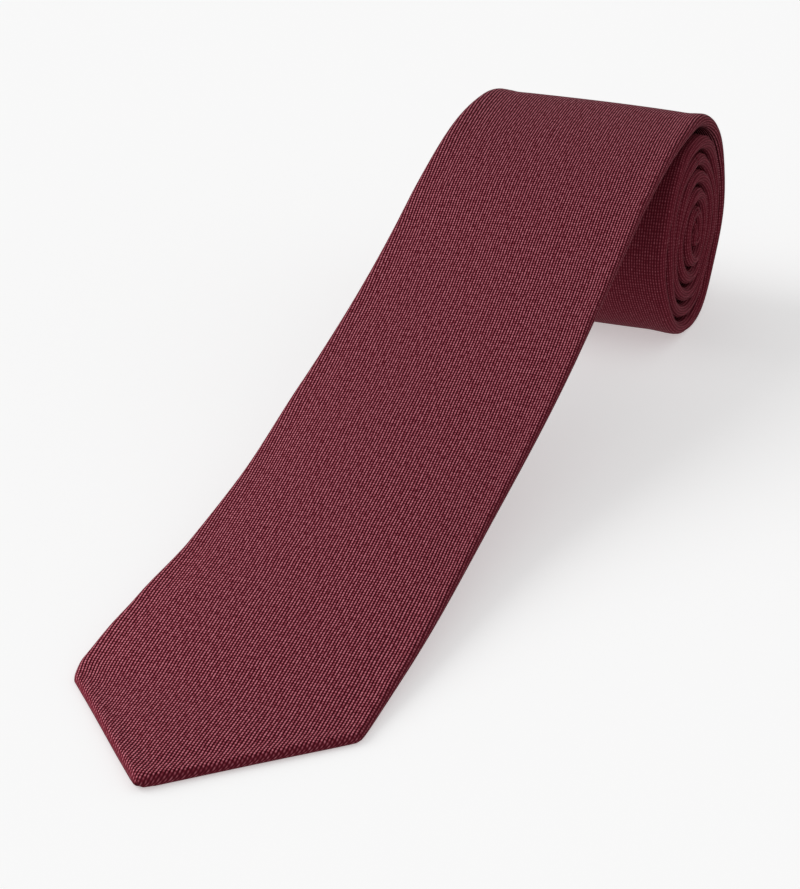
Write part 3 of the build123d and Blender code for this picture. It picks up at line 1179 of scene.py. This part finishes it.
@dataclass
class Keeper:
    """The band of twill behind the blade that holds the tail, and its stitches."""

    shape: StripShape
    place: float = 214.0
    length: float = 10.0
    reach: float = 31.5
    tab: float = 6.0
    drop: float = 6.6
    band: float = 0.9
    skew: float = 0.25
    ripple: float = 0.25
    edge_round: float = 0.35
    face_round: float = 0.7

    def sag(self, x: float) -> float:
        """Depth of the band below the blade's back."""
        inner = self.reach - self.tab
        return self.drop * smooth((inner - abs(x)) / (self.drop * 1.7)) + self.skew * (x / self.reach)

    def build(self, twill: Material, thread: Material) -> None:
        """Build the band as a flat tube of cloth, then its two rows of stitches.

        Args:
            twill: Cloth of the band.
            thread: Thread of the stitches.
        """
        shape = self.shape
        bm = bmesh.new()
        bmesh.ops.create_grid(bm, x_segments=90, y_segments=24, size=0.5)
        cloth = {}
        top = -shape.mid_half(0) - 0.05
        for vert in bm.verts:
            x = 2 * self.reach * vert.co.x
            turn = 2 * pi * (vert.co.y + 0.5)
            flat = abs(cos(turn)) ** self.edge_round * (1 if cos(turn) > 0 else -1)
            puffed = abs(sin(turn)) ** self.face_round * (1 if sin(turn) > 0 else -1)
            s = self.place + self.length / 2 * flat
            n = top - self.band / 2 - self.sag(x) + self.band / 2 * puffed
            n += self.ripple * sin(x / 7.0) * flat * smooth((self.reach - self.tab - abs(x)) / 6)
            cloth[vert] = (x, 2 * self.length * vert.co.y)
            vert.co = Vector((x, s, n + shape.ease(s, x)))
        map_cloth(bm, cloth)
        close_ends(bm)
        shape.line.bend(bm)
        bmesh.ops.recalc_face_normals(bm, faces=bm.faces)
        band = finish_piece(bm, "keeper_band", twill, "outer_cloth", "keeper_loop")
        sewn = top - self.band - 0.02
        rows = [
            (side * (self.reach - self.tab / 2), self.place - 4 + 1.6 * i, sewn, 0.1)
            for side in (-1, 1)
            for i in range(6)
        ]
        Stitching(shape).row("keeper_stitches", rows, 1.5, thread)


@dataclass
class Labels:
    """Two blank labels on the blade's back and the stitches that hold the wider one."""

    shape: StripShape
    cloth_mm: float = 0.22
    clear: float = 0.28
    bow: float = 0.35
    ripple: float = 0.06

    def build(self, satin: Material, thread: Material) -> None:
        """Build both labels, each slightly bowed off the cloth.

        Args:
            satin: Ribbon of the labels.
            thread: Thread of the stitches.
        """
        shape = self.shape
        back = -shape.mid_half(0) - self.clear
        for name, x0, x1, start, end in (
            ("maker_label", -27.0, 27.0, 246.0, 270.0),
            ("care_label", 3.0, 21.0, 284.0, 306.0),
        ):

            def depth(x: float, s: float) -> float:
                """Bow the middle of this label down, off the cloth."""
                bow = sin(pi * ((x - x0) / (x1 - x0))) * sin(pi * (s - start) / (end - start))
                return back - self.bow * bow + shape.ease(s, x) - self.ripple * sin(x / 2.6)

            bm = Patch(start, end, 24, 48, lambda s: (x0, x1), depth).build(shape.line)
            piece = finish_piece(bm, name + "_satin", satin, "label_satin", name)
            thicken(piece, self.cloth_mm)
        corners = [
            (x + 0.5 * i, s, back - 0.2 + shape.ease(s, x), 0.12)
            for x in (-26.2, 25.2)
            for s in (247.8, 268.2)
            for i in range(3)
        ]
        Stitching(shape).row("label_stitches", corners, 1.6, thread)


@dataclass
class Studio:
    """Pale seamless floor, soft light from the left, a bounce card near the tip and the camera."""

    azimuth: float = radians(22.51)
    elevation: float = radians(24.82)
    distance: float = 0.8
    target: Triple = (-0.0173, 0.0222, 0.0)
    lens: float = 106.4
    card_place: Triple = (-0.22, -0.19, 0.15)
    card_aim: Triple = (-0.02, -0.07, 0.01)
    card_size: float = 0.16
    card_watts: float = 0.3
    window_towards: Triple = (-1.0, -0.3, 0.78)
    window_spread: float = radians(48)
    window_strength: float = 0.95
    room_strength: float = 0.4
    floor_glow: float = 0.437

    def camera(self) -> None:
        """Place the camera to the right of the tip, looking along the blade."""
        data = bpy.data.cameras.new("camera")
        data.lens = self.lens
        data.sensor_width = 36.0
        data.clip_start = 0.01
        camera = add_object("camera", data)
        level = cos(self.elevation)
        away = Vector((sin(self.azimuth) * level, -cos(self.azimuth) * level, sin(self.elevation)))
        camera.matrix_world = turned_from(Vector(self.target) + away * self.distance, away)
        bpy.context.scene.camera = camera

    def floor(self) -> None:
        """Lay a wide floor of matt white paper, which shows no gloss and glows back the room."""
        bm = bmesh.new()
        bmesh.ops.create_grid(bm, x_segments=1, y_segments=1, size=6.0)
        mesh = bpy.data.meshes.new("floor")
        bm.to_mesh(mesh)
        bm.free()
        floor_piece = add_object("floor", mesh)
        paper, _, shader = new_material("matt_white_paper")
        look = {
            "Base Color": linear("f0f0f0"),
            "Emission Color": linear("ffffff"),
            "Emission Strength": self.floor_glow,
            "Roughness": 0.9,
            "Specular IOR Level": 0.1,
        }
        set_sockets(shader, look)
        mesh.materials.append(paper)
        floor_piece.visible_diffuse = False
        floor_piece.visible_glossy = False
        floor_piece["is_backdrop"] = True

    def bounce_card(self, pieces: list[Object]) -> None:
        """Stand a small bright card near the tip, which lights the tie and not the floor.

        Args:
            pieces: What the card lights.
        """
        data = bpy.data.lights.new("bounce_card", "AREA")
        data.shape = "SQUARE"
        data.size = self.card_size
        data.energy = self.card_watts
        card = add_object("bounce_card", data)
        place = Vector(self.card_place)
        card.matrix_world = turned_from(place, (place - Vector(self.card_aim)).normalized())
        lit = bpy.data.collections.new("lit_by_card")
        for piece in pieces:
            lit.objects.link(piece)
        card.light_linking.receiver_collection = lit

    def window(self) -> None:
        """Shine a wide, even, distant softbox from the left."""
        data = bpy.data.lights.new("window", "SUN")
        data.angle = self.window_spread
        data.energy = self.window_strength
        lamp = add_object("window", data)
        lamp.matrix_world = turned_from(Vector(), Vector(self.window_towards))

    def build(self) -> None:
        """Set up the whole studio."""
        self.camera()
        self.floor()
        world = bpy.data.worlds.new("soft_white_room")
        world.use_nodes = True
        room = {"Color": linear("ffffff"), "Strength": self.room_strength}
        set_sockets(world.node_tree.nodes["Background"], room)
        bpy.context.scene.world = world
        bpy.context.scene.view_settings.view_transform = "Standard"
        self.window()


def main() -> None:
    """Build the tie and its studio."""
    low, high = (Vector(corner) for corner in CAD_BOUNDS)
    line = RolledLine(depth=(high.y - low.y) / MM, height=(high.z - low.z) / MM)
    shape = StripShape(line)
    log.info("line of %.1f mm", line.end)
    studio = Studio()
    studio.build()
    twill, thread = Twill().make(), Yarn().make()
    OuterCloth(shape).build(twill)
    Interlining(shape).build(WOOL.make())
    Tipping(shape).build(LINING.make())
    Stitching(shape).build(thread)
    Keeper(shape).build(twill, thread)
    Labels(shape).build(LABEL.make(), thread)
    studio.bounce_card(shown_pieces())


if __name__ == "__main__":
    logging.basicConfig(level=logging.INFO, format="%(name)s %(message)s")
    main()
